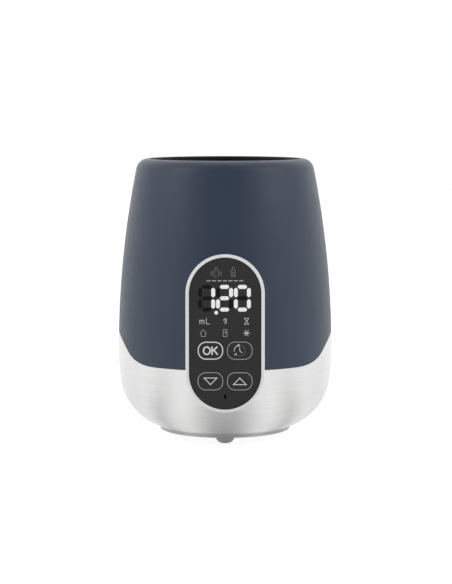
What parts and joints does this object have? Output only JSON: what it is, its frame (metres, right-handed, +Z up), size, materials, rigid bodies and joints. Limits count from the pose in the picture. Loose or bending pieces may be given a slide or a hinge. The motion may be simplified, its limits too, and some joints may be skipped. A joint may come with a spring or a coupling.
{
  "type": "bottle warmer",
  "caption": "Round tapered bottle warmer: blue housing in a steel bowl, open water well with lift-out basket, and a front panel with a digit display and four keys.",
  "frame": {"origin": "on the floor, on the body's vertical axis, at the middle of the feet", "axes": "+Z up along the body's axis, -Y out of the front through the control panel, +X to the right as seen from the front"},
  "size_m": [0.132, 0.1396, 0.1714],
  "materials": {
    "soft_blue": "soft-touch slate-blue plastic",
    "brushed_steel": "brushed round the body",
    "black_plastic": "fine texture",
    "grey_plastic": "satin",
    "foot_rubber": "soft, slightly clear grey",
    "black_rubber": "moulded",
    "satin_silver": "satin silver",
    "fascia_black": "dark grey with white print",
    "key_black": "dark grey with white print",
    "lit_white": "glowing white",
    "unlit_black": "clear dark",
    "white_plastic": "satin",
    "board_green": "solder mask",
    "seal_silicone": "silicone",
    "cast_aluminium": "fine turned",
    "zinc_steel": "zinc-plated",
    "heater_metal": "pressed case",
    "wire_red": "silicone sleeve",
    "ribbon_grey": "flat cable",
    "terminal_green": "terminal block",
    "basket_grey": "translucent grey"
  },
  "bodies": {
    "housing": {"base_screws": "zinc_steel", "bottom_plate": "grey_plastic", "buzzer": "black_plastic", "cable_gland": "black_rubber", "clamp_screws": "zinc_steel", "collar_screws": "zinc_steel", "control_pcb": "board_green", "control_pcb_screws": "zinc_steel", "display_module": "white_plastic", "display_segments_dark": "unlit_black", "display_segments_lit": "lit_white", "filter_capacitor": "black_plastic", "foot_front": "foot_rubber", "foot_left": "foot_rubber", "foot_right": "foot_rubber", "heater_clamp": "zinc_steel", "heater_leads": "wire_red", "heater_terminal": "terminal_green", "heating_plate": "cast_aluminium", "inner_tray": "black_plastic", "liner_collar": "grey_plastic", "mains_terminal": "terminal_green", "ntc_sensor": "zinc_steel", "panel_bezel": "satin_silver", "panel_fascia": "fascia_black", "plate_seal": "seal_silicone", "power_pcb": "board_green", "power_pcb_screws": "zinc_steel", "power_relay": "white_plastic", "power_transformer": "black_plastic", "ptc_heater": "heater_metal", "ribbon_cable": "ribbon_grey", "rim_gasket": "black_rubber", "steel_bowl": "brushed_steel", "tactile_switches": "black_plastic", "thermal_fuse": "heater_metal", "upper_shell": "soft_blue", "well_liner": "black_plastic"},
    "basket": {"bottle_basket": "basket_grey"},
    "ok_key_body": {"ok_key": "key_black", "ok_switch_stem": "white_plastic"},
    "delay_key_body": {"delay_key": "key_black", "delay_switch_stem": "white_plastic"},
    "down_key_body": {"down_key": "key_black", "down_switch_stem": "white_plastic"},
    "up_key_body": {"up_key": "key_black", "up_switch_stem": "white_plastic"}
  },
  "joints": [
    {"name": "basket_lift", "type": "slide", "parent": "housing", "child": "basket", "axis": [0, 0, 1], "range_m": [0, 0.125]},
    {"name": "ok_key_press", "type": "slide", "parent": "housing", "child": "ok_key_body", "axis": [0, 0.9981, -0.061], "range_m": [0, 0.0005], "stiffness_N_per_m": 1500},
    {"name": "delay_key_press", "type": "slide", "parent": "housing", "child": "delay_key_body", "axis": [0, 0.9981, -0.061], "range_m": [0, 0.0005], "stiffness_N_per_m": 1500},
    {"name": "down_key_press", "type": "slide", "parent": "housing", "child": "down_key_body", "axis": [0, 0.9981, -0.061], "range_m": [0, 0.0005], "stiffness_N_per_m": 1500},
    {"name": "up_key_press", "type": "slide", "parent": "housing", "child": "up_key_body", "axis": [0, 0.9981, -0.061], "range_m": [0, 0.0005], "stiffness_N_per_m": 1500}
  ]
}
